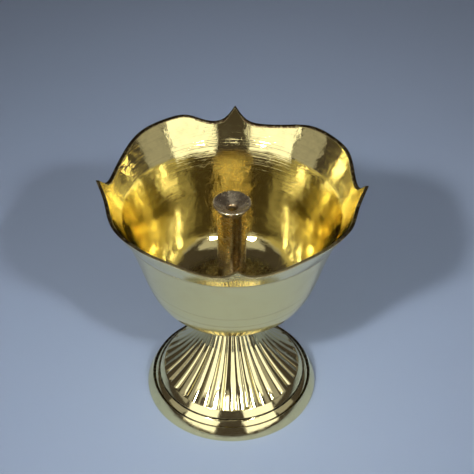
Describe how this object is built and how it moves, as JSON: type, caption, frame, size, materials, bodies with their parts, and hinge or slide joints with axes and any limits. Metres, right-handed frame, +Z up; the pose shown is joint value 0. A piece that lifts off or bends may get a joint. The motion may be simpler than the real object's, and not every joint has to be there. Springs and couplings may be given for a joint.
{
  "type": "oil lamp",
  "caption": "Turned brass oil lamp: fluted bell foot with stepped rings, deep bowl with a flared scalloped lip, slotted central wick post that unscrews.",
  "frame": {"origin": "centre of the foot's rest face, on the turning axis", "axes": "+Z up along the turning axis; -Y is the side that faces the camera in the picture, +X its right"},
  "size_m": [0.0706, 0.0706, 0.073],
  "materials": {
    "polished_brass": "polished, with bright flutes",
    "bowl_brass": "lathe-turned and polished",
    "heated_brass": "duller, browned by heat"
  },
  "bodies": {
    "foot": {"foot": "polished_brass"},
    "bowl": {"bowl": "bowl_brass"},
    "wick_post": {"wick_post": "heated_brass"}
  },
  "joints": [
    {"name": "bowl_lift", "type": "slide", "parent": "foot", "child": "bowl", "axis": [0, 0, 1], "range_m": [0, 0.05]},
    {"name": "wick_post_lift", "type": "slide", "parent": "bowl", "child": "wick_post", "axis": [0, 0, 1], "range_m": [0, 0.06]}
  ]
}
